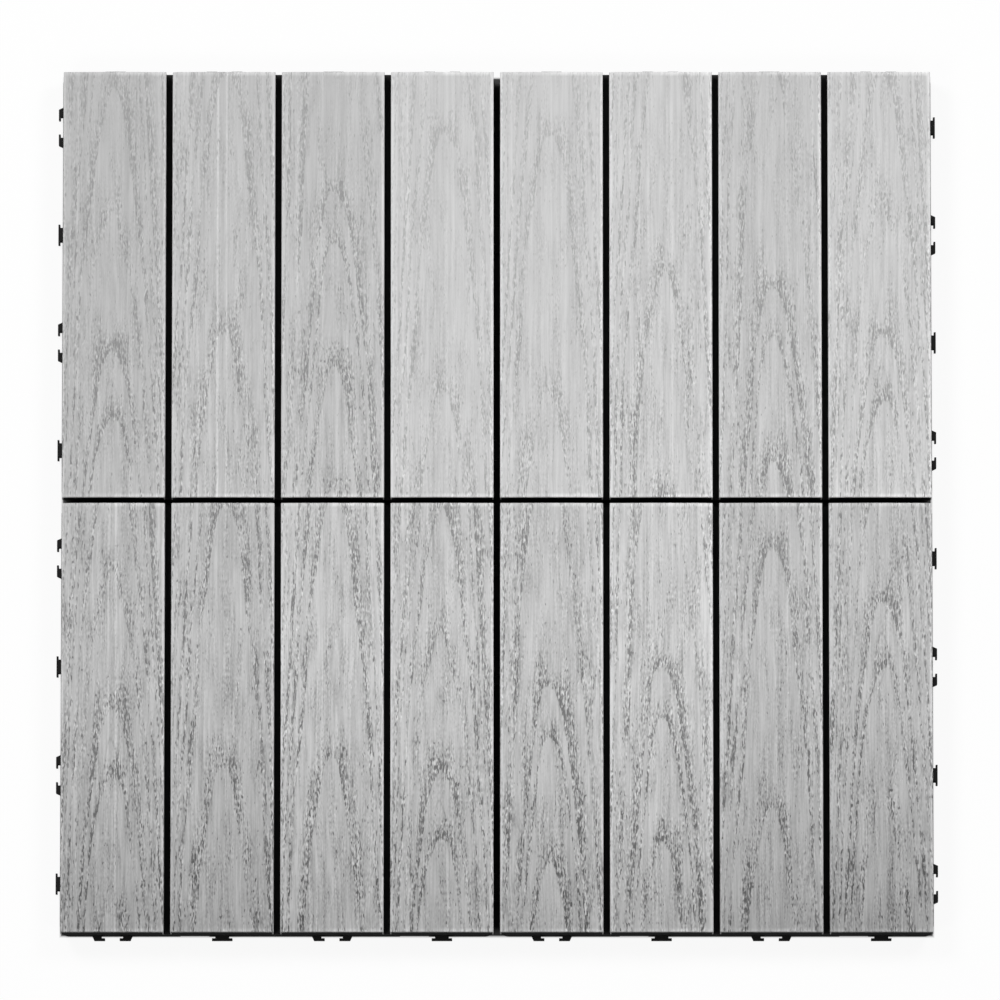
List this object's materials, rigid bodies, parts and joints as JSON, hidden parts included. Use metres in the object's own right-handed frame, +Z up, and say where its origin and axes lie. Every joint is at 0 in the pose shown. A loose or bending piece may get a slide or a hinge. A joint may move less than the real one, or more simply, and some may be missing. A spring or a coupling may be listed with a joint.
{
  "type": "interlocking deck tile",
  "caption": "Square outdoor deck tile: embossed composite slats on black moulded base grids that clip together with hooks and sockets.",
  "frame": {"origin": "middle of the footprint, on the ground", "axes": "+X across the slats, +Y along the slats away from the front edge, +Z up through the thickness"},
  "size_m": [0.6126, 0.6126, 0.0247],
  "materials": {
    "composite_slat": "embossed wood grain, matt",
    "black_moulding": "fine satin moulded",
    "screw_steel": "zinc plated"
  },
  "bodies": {
    "root": {"slat_front_1": "composite_slat", "slat_front_2": "composite_slat", "slat_front_3": "composite_slat", "slat_front_4": "composite_slat", "slat_front_5": "composite_slat", "slat_front_6": "composite_slat", "slat_front_7": "composite_slat", "slat_front_8": "composite_slat", "slat_back_1": "composite_slat", "slat_back_2": "composite_slat", "slat_back_3": "composite_slat", "slat_back_4": "composite_slat", "slat_back_5": "composite_slat", "slat_back_6": "composite_slat", "slat_back_7": "composite_slat", "slat_back_8": "composite_slat", "base_front_left": "black_moulding", "base_front_right": "black_moulding", "base_back_left": "black_moulding", "base_back_right": "black_moulding", "slat_screws": "screw_steel"}
  },
  "joints": []
}
